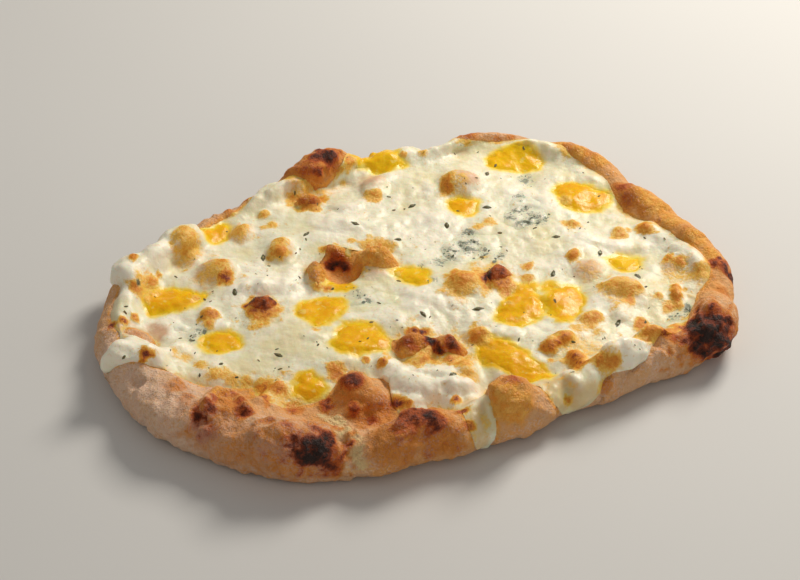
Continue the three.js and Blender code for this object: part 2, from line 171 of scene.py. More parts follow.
# %% Sums on sockets
class Value:
    """A socket of a material, on which sums can be written as on a number."""

    def __init__(self, tree, socket):
        self.tree = tree
        self.socket = socket

    def node(self, kind, settings=None, inputs=None, output=0):
        """Adds a node: its settings first, then its sockets. Returns one of its outputs, if it has any."""
        made = self.tree.nodes.new(kind)
        for name, setting in (settings or {}).items():
            setattr(made, name, setting)
        for name, given in (inputs or {}).items():
            if isinstance(given, Value):
                self.tree.links.new(given.socket, made.inputs[name])
            else:
                made.inputs[name].default_value = given
        return Value(self.tree, made.outputs[output]) if made.outputs else None

    def math(self, operation, first, second):
        """Adds a Math node."""
        return self.node("ShaderNodeMath", {"operation": operation}, {0: first, 1: second})

    def __add__(self, other):
        return self.math("ADD", self, other)

    def __sub__(self, other):
        return self.math("SUBTRACT", self, other)

    def __mul__(self, other):
        return self.math("MULTIPLY", self, other)

    def __rsub__(self, other):
        return self.math("SUBTRACT", other, self)

    __radd__ = __add__
    __rmul__ = __mul__

    def between(self, low, high):
        """0 below low, 1 above high, and smooth between them."""
        limits = {"Value": self, "From Min": low, "From Max": high}
        return self.node("ShaderNodeMapRange", {"interpolation_type": "SMOOTHSTEP"}, limits)

    def choose(self, colour, other):
        """The first colour where this value is 0, the other where it is 1."""
        return self.node("ShaderNodeMix", {"data_type": "RGBA"}, {0: self, 6: colour, 7: other}, 2)

    def grain(self, size, detail=2.0, rough=0.5):
        """Cloudy noise from 0 to 1 on these coordinates, with clouds of about that size."""
        given = {"Vector": self, "Scale": 1 / size, "Detail": detail, "Roughness": rough}
        return self.node("ShaderNodeTexNoise", {"noise_dimensions": "3D"}, given)

    def painted(self, name):
        """A value that was painted on the mesh."""
        return self.node("ShaderNodeAttribute", {"attribute_name": name}, None, "Fac")


def linear(channel):
    """One sRGB channel, 0 to 255, as the linear light that Blender works in."""
    share = channel / 255
    return share / 12.92 if share <= 0.04045 else ((share + 0.055) / 1.055) ** 2.4


def rgb(red, green, blue):
    """A colour as it is read off a screen."""
    return (linear(red), linear(green), linear(blue), 1)


def new_material(name):
    """An empty material, and its object coordinates to start from."""
    made = bpy.data.materials.new(name)
    made.use_nodes = True
    made.node_tree.nodes.clear()
    return made, Value(made.node_tree, None).node("ShaderNodeTexCoord", output="Object")


def finish_material(at, look):
    """Joins a Principled shader with these sockets to the material's output."""
    shader = at.node("ShaderNodeBsdfPrincipled", None, look)
    at.node("ShaderNodeOutputMaterial", None, {"Surface": shader})


table_finish, at = new_material("pale_table")
table_colour = at.grain(0.4).choose(rgb(206, 204, 200), rgb(214, 212, 208))
finish_material(at, {"Base Color": table_colour, "Roughness": 0.7})
table.data.materials.append(table_finish)
print("table finish has", len(table_finish.node_tree.nodes), "nodes")

# %% [markdown]
# ## Finer copies of the solids
# The solids are made of flat facets about 6 mm across. Catmull-Clark subdivision rounds them off, as
# melting does. The dough is also remeshed in even steps, so that its rim can carry small blisters. The
# pools are smoothed until their corners are gone, and spread by what the smoothing shrinks them.

# %% Finer copies
LEVELS = 2
DOUGH_STEP = 1.3 * MM
MERGE = 0.003 * MM
POOL_SOFTEN = 14
POOL_GROW = 1.12


def finer_copy(name, names, step=0, soften=0, grow=1):
    """One smooth piece made of copies of solids, which may be remeshed, softened and spread a little."""
    shape = bmesh.new()
    for solid in names:
        known = set(shape.verts)
        shape.from_mesh(solids[solid].data)
        added = [corner for corner in shape.verts if corner not in known]
        middle = sum((corner.co for corner in added), Vector()) / len(added)
        bmesh.ops.scale(shape, vec=(grow, grow, 1), space=Matrix.Translation(-middle), verts=added)
    bmesh.ops.remove_doubles(shape, verts=shape.verts, dist=MERGE)
    piece = add_object(name, mesh_of(name, shape))
    rounding = piece.modifiers.new("rounding", "SUBSURF")
    rounding.levels = rounding.render_levels = LEVELS
    if step:
        even = piece.modifiers.new("even", "REMESH")
        even.mode = "VOXEL"
        even.voxel_size = step
    if soften:
        melting = piece.modifiers.new("melting", "SMOOTH")
        melting.iterations = soften
    finished = piece.evaluated_get(bpy.context.evaluated_depsgraph_get())
    piece.data = bpy.data.meshes.new_from_object(finished)
    piece.data.name = name
    piece.modifiers.clear()
    piece.data.materials.clear()
    piece.data.shade_smooth()
    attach(piece, "root")
    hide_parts(*names)
    print(name, "has", len(piece.data.polygons), "faces")
    return piece


yellow_names = sorted(name for name in solids if name.startswith("yellow_cheese"))
blue_names = sorted(name for name in solids if name.startswith("blue_cheese"))
dough = finer_copy("dough", ["crust"], DOUGH_STEP)
white = finer_copy("melted_white_cheese", ["white_cheese"])
yellow = finer_copy("yellow_pools", yellow_names, soften=POOL_SOFTEN, grow=POOL_GROW)
blue = finer_copy("blue_lumps", blue_names, soften=POOL_SOFTEN, grow=POOL_GROW)

# %% [markdown]
# ## Painting and pushing points
# These helpers read a piece's points as an array, give each a cloudy noise, and paint a value on each
# point that a material can read later. A ray from a point finds what lies over or under it.

# %% Helpers for points
UP = Vector((0, 0, 1))
DOWN = -UP
CREASE = 0.004  # how soft the creases between lumps are


def points_of(piece):
    flat = np.empty(len(piece.data.vertices) * 3)
    piece.data.vertices.foreach_get("co", flat)
    return flat.reshape(-1, 3)


def normals_of(piece):
    flat = np.empty(len(piece.data.vertices) * 3)
    piece.data.vertex_normals.foreach_get("vector", flat)
    return flat.reshape(-1, 3)


def move(piece, shift):
    """Moves every point by its own shift."""
    piece.data.vertices.foreach_set("co", (points_of(piece) + shift).ravel())
    piece.data.update()


def clouds(points, size, seed):
    """Smooth noise from about -1 to 1 at each point, with clouds of that size."""
    shift = Vector((seed * 3.7, seed * 1.9, seed * 5.3))
    return np.array([noise.noise(Vector(p) / size + shift) for p in points])


def curdle(points, size, seed):
    """Rounded lumps of about that size with soft creases between them, from 0 up."""
    return np.sqrt(clouds(points, size, seed) ** 2 + CREASE)


def paint(piece, name, values):
    """Keeps a value at each point under a name."""
    layer = piece.data.attributes.new(name, "FLOAT", "POINT")
    layer.data.foreach_set("value", values.astype(np.float32))


def smooth(values, low, high):
    """0 below low, 1 above high, and smooth between them."""
    share = np.clip((values - low) / (high - low), 0, 1)
    return share * share * (3 - 2 * share)


def gap_along(points, tree, way, most):
    """Distance from each point along a direction to a surface, or the most where there is none."""
    found = (tree.ray_cast(Vector(p), way, most)[3] for p in points)
    return np.array([most if gap is None else gap for gap in found])


def even_out(piece, values, passes):
    """Averages a value at each point with its neighbours, a few times over."""
    ends = np.empty(len(piece.data.edges) * 2, dtype=int)
    piece.data.edges.foreach_get("vertices", ends)
    first, second = ends.reshape(-1, 2).T
    near = np.bincount(ends, minlength=len(values))
    for _ in range(passes):
        total = np.bincount(first, values[second], len(values))
        total += np.bincount(second, values[first], len(values))
        values = (values + total) / (near + 1)
    return values


def from_pixel(points, u, v, size):
    """Distance of each point from the place seen at a pixel, in half-sizes given in pixels."""
    return np.linalg.norm(points - np.array(seen_at(u, v)), axis=1) / (size * SEEN)


crust_tree = tree_of([solids["crust"]])
white_tree = tree_of([solids["white_cheese"]])
print("points to work on:", sum(len(piece.data.vertices) for piece in (dough, white, yellow, blue)))

# %% [markdown]
# ## Where the oven has toasted it, and where shade is painted
# Toasting is read off the picture: each spot has a pixel, a half-size in pixels and a depth of colour
# from 0, none, to 1, black. A few spots in dark pockets at the front of the rim are painted shade. Each
# is found on the surface and fades out with distance, with a ragged edge. The side that the picture
# doesn't show is toasted by the same oven, so a seeded draw puts spots of like sizes on the back of the
# rim.

# %% Toasted spots and spots of painted shade
TOASTED_AND_SHADED = [
    # the left end and the flaps there
    (136, 288, 7, 0.62), (153, 281, 8, 0.6), (159, 275, 5, 0.5), (121, 319, 5, 0.62), (113, 325, 5, 0.8),
    (124, 320, 4, 0.85), (135, 317, 4, 0.75), (145, 354, 5, 0.95), (153, 353, 4, 0.9), (136, 335, 6, 0.42),
    # the left half of the cheese
    (245, 196, 8, 0.6), (214, 206, 4, 0.9), (230, 211, 7, 0.45), (264, 213, 6, 0.42), (240, 228, 11, 0.4),
    (273, 224, 6, 0.45), (263, 227, 5, 0.4), (292, 199, 8, 0.52), (302, 202, 8, 0.64), (313, 203, 9, 0.7),
    (322, 199, 7, 0.6), (373, 196, 9, 0.5), (182, 235, 10, 0.42), (188, 249, 12, 0.4), (214, 268, 14, 0.28),
    (221, 260, 7, 0.62), (227, 277, 6, 1.0), (221, 278, 4, 0.9), (279, 251, 10, 0.62), (280, 240, 9, 0.5),
    (325, 247, 7, 0.58), (197, 297, 4, 0.6), (207, 314, 8, 0.68), (214, 313, 7, 0.72), (210, 323, 6, 0.6),
    (253, 327, 5, 0.45), (316, 329, 5, 0.45),
    # the burst bubble and the one before it
    (316, 262, 8, 0.4), (314, 275, 9, 0.32), (318, 286, 7, 0.42), (338, 258, 11, 0.8), (345, 266, 7, 0.95),
    (330, 266, 7, 0.85), (327, 288, 5, 0.8), (360, 271, 9, 0.4), (368, 244, 9, 0.45), (380, 243, 9, 0.48),
    (391, 247, 7, 0.42), (376, 256, 12, 0.24), (352, 240, 5, 0.45), (246, 306, 5, 0.95),
    (251, 301, 5, 0.98), (258, 298, 5, 0.92), (264, 301, 6, 0.66), (271, 298, 5, 1.0), (275, 302, 5, 0.95),
    (261, 305, 15, 0.72), (252, 309, 8, 0.55), (274, 309, 9, 0.55), (263, 313, 13, 0.52),
    (183, 229, 10, 0.5), (193, 236, 6, 0.42), (133, 255, 5, 0.7),
    # the back
    (327, 152, 14, 0.96), (341, 149, 9, 0.9), (316, 158, 10, 0.85), (317, 171, 6, 0.8),
    (304, 168, 14, 0.45), (288, 176, 12, 0.42), (335, 168, 12, 0.5), (350, 160, 9, 0.5), (403, 154, 5, 0.5),
    (423, 151, 6, 0.4), (446, 180, 10, 0.6), (448, 190, 7, 0.55), (498, 141, 6, 0.5), (511, 137, 7, 0.45),
    (489, 222, 7, 0.5), (478, 225, 7, 0.4), (567, 147, 11, 0.45), (590, 153, 10, 0.42), (565, 198, 7, 0.4),
    # the right half of the cheese
    (573, 222, 8, 0.45), (574, 253, 8, 0.6), (619, 232, 9, 0.5), (645, 225, 10, 0.62), (623, 187, 10, 0.6),
    (630, 199, 13, 0.5), (641, 210, 9, 0.45), (668, 257, 6, 0.62), (681, 260, 7, 0.62), (677, 286, 7, 0.66),
    (676, 295, 7, 0.64), (659, 295, 5, 0.5), (670, 306, 8, 0.55), (678, 305, 6, 0.5), (623, 284, 12, 0.4),
    (628, 300, 8, 0.58), (638, 288, 8, 0.55), (612, 283, 8, 0.45), (601, 285, 6, 0.45),
    (462, 277, 15, 0.52), (455, 271, 7, 0.6), (500, 277, 17, 0.74), (488, 276, 9, 1.05),
    (502, 268, 9, 0.75), (527, 267, 6, 0.6), (527, 277, 6, 0.52), (596, 316, 9, 0.56), (583, 319, 7, 0.42),
    (574, 327, 7, 0.42), (550, 345, 10, 0.72), (565, 336, 10, 0.66), (576, 356, 11, 0.74),
    (578, 366, 7, 0.6), (601, 358, 9, 0.62), (613, 363, 8, 0.68), (642, 326, 9, 0.6), (650, 333, 9, 0.6),
    (666, 331, 6, 0.78), (674, 338, 8, 0.52), (701, 271, 12, 0.42),
    # the toasted lumps at the front
    (409, 331, 5, 0.85), (415, 330, 5, 0.95), (422, 332, 5, 0.98), (428, 337, 6, 1.0), (433, 342, 6, 1.05),
    (437, 348, 7, 1.05), (441, 353, 5, 0.95), (405, 341, 8, 0.7), (412, 347, 7, 0.72), (400, 346, 7, 0.58),
    (449, 340, 7, 0.85), (455, 346, 8, 0.62), (450, 357, 6, 0.72), (459, 352, 7, 0.55), (421, 360, 7, 0.55),
    (465, 362, 9, 0.48), (467, 372, 7, 0.42), (477, 331, 11, 0.66), (366, 359, 4, 0.7), (383, 362, 5, 0.75),
    # the front left of the rim
    (264, 397, 8, 0.8), (264, 386, 9, 0.6), (276, 387, 9, 0.66), (214, 398, 7, 0.64), (223, 394, 7, 0.58),
    (232, 394, 7, 0.6), (240, 401, 7, 0.66), (248, 414, 5, 0.8), (210, 406, 8, 0.76), (242, 411, 9, 0.76),
    (175, 351, 6, 0.36), (186, 357, 8, 0.34), (201, 364, 8, 0.38), (216, 373, 9, 0.42), (232, 379, 9, 0.42),
    # on the next line, the two spots at 197 across are painted shade in the dark pocket below the ridge of
    # the rim
    (246, 382, 8, 0.46), (197, 415, 9, 0.85), (197, 425, 9, 0.66), (210, 430, 13, 0.55),
    (293, 408, 11, 0.56), (325, 403, 8, 0.75), (352, 380, 12, 0.88), (337, 373, 10, 0.7),
    (355, 410, 8, 0.8), (373, 421, 7, 0.62), (270, 421, 8, 0.55), (285, 424, 8, 0.62), (314, 452, 19, 1.02),
    (325, 438, 11, 0.9), (333, 467, 9, 0.72), (303, 461, 10, 0.85), (178, 386, 11, 0.42),
    # the spot at 398, 404 is painted shade in the dark gap under the front flap
    (188, 396, 9, 0.45), (398, 404, 7, 1.0),
    # the front right of the rim
    (412, 420, 14, 0.74), (427, 414, 14, 0.74), (436, 423, 12, 0.68), (395, 428, 9, 0.55),
    (457, 400, 5, 0.85), (463, 411, 5, 0.85), (470, 424, 5, 0.8), (507, 390, 12, 0.16), (516, 378, 8, 0.55),
    (505, 381, 7, 0.45), (528, 410, 8, 0.24), (489, 403, 8, 0.16), (567, 401, 5, 0.6), (605, 385, 9, 0.42),
    # broad golden areas
    (425, 345, 28, 0.44), (455, 352, 22, 0.42), (475, 335, 18, 0.3), (468, 372, 14, 0.3),
    (490, 272, 26, 0.44), (462, 280, 22, 0.4), (582, 348, 26, 0.28), (608, 360, 16, 0.3),
    (620, 286, 24, 0.3), (590, 270, 18, 0.22), (316, 272, 18, 0.15), (375, 255, 26, 0.16),
    (340, 262, 16, 0.4), (262, 308, 19, 0.4), (310, 190, 24, 0.3), (455, 180, 18, 0.32),
    (190, 246, 20, 0.3), (216, 268, 22, 0.3), (240, 230, 15, 0.3), (280, 246, 16, 0.32),
    (652, 330, 20, 0.36), (678, 275, 22, 0.28), (632, 200, 20, 0.28), (590, 317, 16, 0.3),
    (144, 284, 16, 0.36), (230, 402, 20, 0.36), (272, 390, 22, 0.38), (346, 386, 20, 0.4),
    (375, 410, 24, 0.4), (420, 415, 34, 0.45), (300, 450, 36, 0.45), (316, 450, 27, 0.7),
    (208, 420, 26, 0.36), (228, 446, 34, 0.32), (268, 452, 34, 0.36), (395, 440, 30, 0.4),
    (440, 436, 24, 0.4), (712, 332, 36, 0.7), (310, 165, 34, 0.3),
    # the burnt corner and the right of the rim
    (705, 329, 20, 0.96), (718, 337, 22, 1.0), (724, 349, 15, 1.02), (693, 323, 11, 0.85),
    (715, 308, 10, 0.6), (699, 345, 13, 0.9), (720, 258, 4, 1.1), (726, 266, 9, 0.95), (732, 277, 8, 1.0),
    (714, 264, 6, 0.8), (690, 228, 12, 0.3),
]
SEED = 11
FAR_SPOTS = 50
FAR_ANGLES = (-20, 200)
FAR_HEIGHTS = (4, 22)
FAR_SIZES = (3, 7)
FAR_DEPTHS = (0.3, 0.75)
FACING_AWAY = 0.35
OUTSIDE = 0.4
RAGGED = 0.6
RAGGED_FINE = 0.3
FADE = 0.7
SHARPNESS = 4  # how nearly the strongest spot alone counts

draw = random.Random(SEED)
far_spots = []
for _ in range(FAR_SPOTS):
    angle = math.radians(draw.uniform(*FAR_ANGLES))
    height = draw.uniform(*FAR_HEIGHTS) * MM
    out = Vector((math.cos(angle), math.sin(angle), 0))
    place, outward, _, _ = crust_tree.ray_cast(out * OUTSIDE + UP * height, -out)
    if place and outward.y > FACING_AWAY:
        far_spots.append((np.array(place), draw.uniform(*FAR_SIZES) * MM, draw.uniform(*FAR_DEPTHS)))


def find_spots():
    """Every toasted spot, and every spot of painted shade, as a place on the surface, a radius and a depth.
    """
    seen = [(np.array(seen_at(u, v)), size * SEEN, depth) for u, v, size, depth in TOASTED_AND_SHADED]
    return seen + far_spots


def toast_and_shade_on(points):
    """The depth of toasting and painted shade at each point: about the strongest of the spots near it, with
    ragged edges.
    """
    ragged = 1 + RAGGED * clouds(points, 5.5 * MM, 5) + RAGGED_FINE * clouds(points, 2.2 * MM, 12)
    total = np.zeros(len(points))
    for place, radius, strength in spots:
        away = np.linalg.norm(points - place, axis=1) / radius * ragged
        total += (strength * np.exp(-FADE * away**3)) ** SHARPNESS
    return total ** (1 / SHARPNESS)


def patches_on(points, patches):
    """How much of any of the round patches of the picture lies at each point, from 0 to 1."""
    most = np.zeros(len(points))
    for u, v, size in patches:
        most = np.maximum(most, np.exp(-from_pixel(points, u, v, size) ** 2))
    return most


spots = find_spots()
print("toasted spots seen:", len(TOASTED_AND_SHADED), "and on the far side:", len(far_spots))

# %% [markdown]
# ## Bubbles and folds
# Steam lifts the sheet of cheese in bubbles, and thick curds and flaps of it lie in folds. A bubble is
# a pixel, two half-sizes in pixels and a rise in mm. A fold is a line of pixels with a half-width and a
# rise, or a depth below 0. What lies flat looks shorter up the picture than it is, so such lengths are
# drawn out.

# %% Bubbles and folds
BUBBLES_SEEN = [
    (188, 248, 17, 14, 4.0), (241, 231, 13, 10, 3.5), (281, 246, 15, 16, 5.0), (215, 268, 23, 14, 3.5),
    (375, 185, 16, 14, 3.0), (462, 179, 23, 15, 4.5), (466, 280, 18, 15, 3.5), (499, 273, 17, 15, 4.0),
    (622, 285, 23, 12, 3.5), (588, 269, 17, 13, 2.5), (674, 262, 15, 10, 2.5), (677, 291, 7, 11, 3.0),
    (645, 226, 13, 8, 2.0), (619, 232, 9, 6, 1.5), (652, 329, 19, 10, 3.5), (576, 358, 11, 13, 4.0),
    (551, 345, 11, 9, 3.0), (565, 336, 10, 8, 2.5), (600, 358, 9, 8, 2.0), (613, 363, 8, 8, 2.5),
    (590, 317, 14, 9, 2.5), (415, 346, 17, 18, 3.5), (448, 350, 17, 14, 3.5), (477, 332, 13, 8, 2.5),
    (467, 368, 11, 11, 2.0), (316, 274, 12, 18, 4.0), (378, 258, 23, 20, 4.5), (329, 247, 9, 6, 2.0),
    (262, 305, 20, 13, 3.5), (210, 315, 12, 7, 2.0), (209, 325, 7, 6, 1.5), (245, 197, 9, 6, 2.0),
    (229, 212, 9, 6, 2.0), (264, 214, 8, 6, 1.5), (310, 201, 17, 9, 3.0), (125, 276, 19, 13, 4.0),
    (158, 251, 15, 14, 4.0), (270, 286, 26, 10, 2.5), (153, 283, 9, 6, 1.5), (350, 205, 20, 9, 1.5),
    (574, 254, 9, 8, 2.0), (574, 224, 9, 7, 1.5), (620, 310, 12, 14, 2.5), (560, 318, 16, 10, 1.5),
    (520, 303, 22, 16, 2.5), (556, 300, 18, 14, 2.5), (359, 340, 26, 15, 2.0), (510, 355, 26, 18, 2.0),
    (575, 195, 18, 14, 2.0), (514, 152, 26, 10, 2.0), (380, 158, 24, 9, 2.0), (172, 301, 30, 11, 2.0),
]
FOLDS_SEEN = [
    ([(110, 370), (113, 352), (118, 344)], 8, 2.5),
    ([(112, 372), (134, 362), (152, 351), (182, 346)], 9, 2.8),
    ([(124, 350), (132, 352), (140, 346)], 6, -2.0),
    ([(388, 366), (400, 380), (430, 388), (464, 386)], 12, 3.5),
    ([(420, 372), (450, 376), (472, 392)], 5, 1.5),
    ([(608, 352), (630, 346), (656, 357)], 10, 3.5),
    ([(616, 362), (640, 357), (652, 366)], 5, 1.5),
    ([(300, 190), (285, 186), (272, 192)], 7, 2.5),
    ([(245, 287), (268, 280), (296, 288)], 6, 2.0),
    ([(560, 364), (572, 378), (580, 392)], 8, 1.5),
    ([(675, 248), (690, 250), (702, 262)], 8, 2.0),
    ([(470, 394), (476, 420), (480, 445)], 7, 1.0),
    ([(584, 236), (612, 246), (640, 246)], 9, 1.5),
    ([(330, 222), (360, 226), (400, 222)], 9, 1.2),
    ([(204, 408), (214, 396), (226, 392), (238, 396), (247, 411)], 6, 2.6),
    ([(258, 400), (268, 392), (278, 386)], 6, 2.4),
    ([(250, 417), (277, 424), (310, 433), (338, 448)], 6, -3.0),
    ([(214, 408), (224, 404), (234, 410)], 5, -1.5),
    ([(360, 396), (372, 412), (384, 430)], 6, -2.6),
    ([(445, 392), (455, 406), (462, 424)], 5, -2.2),
    ([(622, 354), (640, 351), (652, 357)], 3, -1.2),
    ([(328, 419), (340, 427), (352, 441)], 3, 1.6),
    ([(338, 417), (350, 425), (358, 437)], 3, 1.4),
]
STRETCH = 1.25  # how much longer a length up the picture is than it looks, beside the bubble's own rise
LEAN = 0.2  # a bubble's foot is nearer than its middle looks, as a share of its rise
WAVER = 0.3
ROUNDNESS = 0.9


def footing(u, v, rise):
    """Where on plan a bump stands that is seen at a pixel."""
    place = seen_at(u, v)
    return np.array((place.x, place.y - LEAN * rise * MM))


bubbles = [
    (footing(u, v, rise), across * SEEN, along * SEEN * STRETCH, rise)
    for u, v, across, along, rise in BUBBLES_SEEN
]
folds = [
    ([footing(u, v, rise) for u, v in line], width * SEEN, rise)
    for line, width, rise in FOLDS_SEEN
]


def swell(points):
    """How far in mm the bubbles and folds lift each point."""
    plan = points[:, :2]
    waver = 1 + WAVER * clouds(points, 5 * MM, 5)
    lift = np.zeros(len(points))
    for foot, across, along, rise in bubbles:
        away = (((plan - foot) / (across, along)) ** 2).sum(axis=1) * waver
        lift = np.maximum(lift, rise * np.clip(1 - away, 0, None) ** ROUNDNESS)
    for line, width, rise in folds:
        nearest = np.full(len(points), np.inf)
        for start, end in zip(line, line[1:]):
            way = end - start
            share = np.clip((plan - start) @ way / (way @ way), 0, 1)
            nearest = np.minimum(nearest, np.linalg.norm(plan - start - np.outer(share, way), axis=1))
        ridge = rise * np.clip(1 - (nearest / width) ** 2 * waver, 0, None) ** ROUNDNESS
        lift = np.maximum(lift, ridge) if rise > 0 else lift + ridge
    return lift


print("bubbles:", len(bubbles), "folds:", len(folds))

# %% [markdown]
# ## The lip of the sheet
# Melted cheese thins out to nothing where it meets dough, except where a thick flap of it hangs. The
# lip is found on the solid as the edges where its top folds over to its underside, close to the dough.
# Sharp edges higher up and well away from it belong to the herb flakes that stick to the sheet.

# %% The lip of the sheet
LIP_FOLD = math.radians(50)
LIP_GAP = 3 * MM
LIP_STEPS = 4
FLAKES_FROM_LIP = 8 * MM

sheet = bmesh.new()
sheet.from_mesh(solids["white_cheese"].data)
bmesh.ops.remove_doubles(sheet, verts=sheet.verts, dist=MERGE)
lip_line = []
high_line = []
for edge in sheet.edges:
    if edge.calc_face_angle() > LIP_FOLD:
        start, end = (corner.co.copy() for corner in edge.verts)
        at_dough = crust_tree.find_nearest((start + end) / 2)[3] < LIP_GAP
        line = lip_line if at_dough else high_line
        line += [start.lerp(end, step / LIP_STEPS) for step in range(LIP_STEPS)]
sheet.free()


def line_tree(line):
    """A search tree of points along a line."""
    tree = KDTree(len(line))
    for index, place in enumerate(line):
        tree.insert(place, index)
    tree.balance()
    return tree


def near_line(points, tree, reach):
    """1 on a line, falling smoothly to 0 at a distance from it."""
    gap = np.array([tree.find(Vector(p))[2] for p in points])
    return 1 - smooth(gap, 0, reach)


lip_tree = line_tree(lip_line)
flake_line = [place for place in high_line if lip_tree.find(place)[2] > FLAKES_FROM_LIP]
flake_tree = line_tree(flake_line)
print("points along the lip:", len(lip_line), "and along herb flakes:", len(flake_line))

# %% [markdown]
# ## The dough's skin
# Baked dough is covered in small blisters and creases, and where it is toasted its skin is rough. The
# larger knobs and dents of the rim are read off the picture. Bubbles that stand bare in the topping are
# glazed with cheese and stand up a little, as do the patches of painted sheen on the back and right of
# the rim. Under the sheet the dough is pressed down, so it never breaks through by chance.

# %% Dough relief
KNOBS_SEEN = [
    (221, 397, 13, 2.5), (208, 404, 8, 2.0), (242, 410, 9, 2.5), (266, 388, 12, 2.5), (280, 389, 9, 2.0),
    (293, 407, 12, 2.0), (323, 403, 9, 2.5), (352, 382, 20, 3.5), (338, 374, 12, 2.0), (375, 400, 14, 2.5),
    (356, 408, 10, 1.5), (199, 419, 9, -3.5), (225, 440, 18, 2.0), (262, 447, 22, 2.0), (314, 450, 22, 3.0),
    (285, 430, 14, 1.5), (345, 440, 9, -2.0), (352, 455, 7, -1.5), (415, 418, 18, 2.0), (440, 418, 16, 2.0),
    (400, 440, 18, 1.5), (455, 396, 5, -1.0), (465, 413, 5, -1.0), (472, 428, 5, -1.0), (510, 388, 20, 3.0),
    (500, 405, 18, 3.0), (525, 405, 14, 2.5), (525, 386, 12, 2.5), (494, 392, 12, 2.5), (605, 388, 16, 2.0),
    (640, 375, 16, 2.0), (668, 352, 12, 2.0), (705, 328, 16, 3.0), (722, 342, 14, 2.5), (712, 305, 12, 2.0),
    (722, 266, 10, 2.0), (718, 290, 12, 1.5), (690, 228, 18, 1.2), (668, 208, 14, 1.0), (630, 190, 16, 1.5),
    (110, 345, 14, 1.5), (140, 400, 20, 2.0), (165, 415, 18, 1.5), (178, 384, 12, 2.0),
    (136, 382, 10, -3.0), (120, 380, 12, 1.5), (310, 170, 16, 2.0), (290, 174, 12, 2.0),
    (333, 155, 12, 2.0),
]
# cheese glaze on bare bubbles, partly painted light: the patches on the back and right of the rim and on
# the rim bubble are a painted sheen, and the glaze colour is brighter than the shaded bubble faces would be
GLAZE_AND_SHEEN_SEEN = [
    (262, 303, 18), (251, 301, 12), (270, 306, 12), (498, 273, 16), (414, 344, 18), (446, 348, 18),
    (316, 272, 17), (376, 254, 26), (362, 268, 14), (345, 250, 12), (340, 285, 12), (310, 199, 14),
    (505, 395, 20), (518, 408, 18), (494, 404, 16), (560, 145, 12), (580, 150, 12), (600, 158, 12),
    (655, 203, 16), (676, 218, 16), (696, 236, 14), (640, 192, 12), (712, 252, 10), (420, 345, 24),
    (456, 354, 16), (224, 396, 12), (272, 388, 12),
]
BLISTERS = 260
BLISTER_SIZE = (2.0, 5.5)
BLISTER_RISE = 0.22
PRESSED = 0.9
GLAZE_AND_SHEEN_RISE = 1.2
CALM = 0.4  # share of the rough relief that the smooth right and back of the rim keeps
CALM_FROM = (-20, 0)  # in degrees round from the right
CALM_TO = (95, 115)
COVER_MOST = 14 * MM
BARE_GAP = 0.8 * COVER_MOST
JUST_ABOVE = 0.1 * MM
RIM_FROM = 95 * MM
RIM_OVAL = 1.2  # the pizza's length over its width
LIP_CALM = 0.85
FOOT = (0.2 * MM, 3 * MM)  # heights between which the relief comes in, so that the foot stays flat
LIFTED_FROM = 6 * MM

dough_points = points_of(dough)
dough_facing = normals_of(dough)
dough_waver = clouds(dough_points, 4 * MM, 1)
dough_toast_and_shade = toast_and_shade_on(dough_points)
bearing = np.degrees(np.arctan2(dough_points[:, 1], dough_points[:, 0]))
calm = 1 - (1 - CALM) * smooth(bearing, *CALM_FROM) * (1 - smooth(bearing, *CALM_TO))
rise = 1.2 * clouds(dough_points, 16 * MM, 2) - 1.2 * np.abs(clouds(dough_points, 9 * MM, 3))
rise += 0.8 * clouds(dough_points, 5.5 * MM, 14)
rise += (0.6 + 1.2 * dough_toast_and_shade) * clouds(dough_points, 3.4 * MM, 4)
outer = dough_points[np.hypot(dough_points[:, 0], dough_points[:, 1] * RIM_OVAL) > RIM_FROM]
for _ in range(BLISTERS):
    middle = outer[draw.randrange(len(outer))]
    size = draw.uniform(*BLISTER_SIZE) * MM
    near = np.clip(1 - (np.linalg.norm(dough_points - middle, axis=1) / size) ** 2, 0, None)
    rise += BLISTER_RISE * size / MM * near**1.5
rise *= calm
for u, v, size, height in KNOBS_SEEN:
    away = from_pixel(dough_points, u, v, size)
    rise += height * np.clip(1 - away**2 * (1 + 0.4 * dough_waver), 0, None) ** 1.2
bare = gap_along(dough_points + dough_facing * JUST_ABOVE, white_tree, UP, COVER_MOST) > BARE_GAP
upward = smooth(dough_facing[:, 2], -0.1, 0.5)
off_table = smooth(dough_points[:, 2], *FOOT)
glaze_and_sheen_patches = patches_on(dough_points, GLAZE_AND_SHEEN_SEEN)
at_lip = near_line(dough_points, lip_tree, 4 * MM)
rise = np.where(bare, rise + GLAZE_AND_SHEEN_RISE * glaze_and_sheen_patches, -PRESSED) * (1 - LIP_CALM * at_lip) * off_table
lifted = np.outer(swell(dough_points) * upward * (dough_points[:, 2] > LIFTED_FROM), UP)
move(dough, (dough_facing * rise[:, None] + lifted) * MM)
print("dough pushed by", round(rise.min(), 2), "to", round(rise.max(), 2), "mm")

# %% [markdown]
# ## The white cheese's skin
# The sheet is lumpy all over, and whiter curds stand up in it. Its lip is pressed onto the dough, so
# that it clings as melted cheese does. Flaps keep a thick rolled edge.

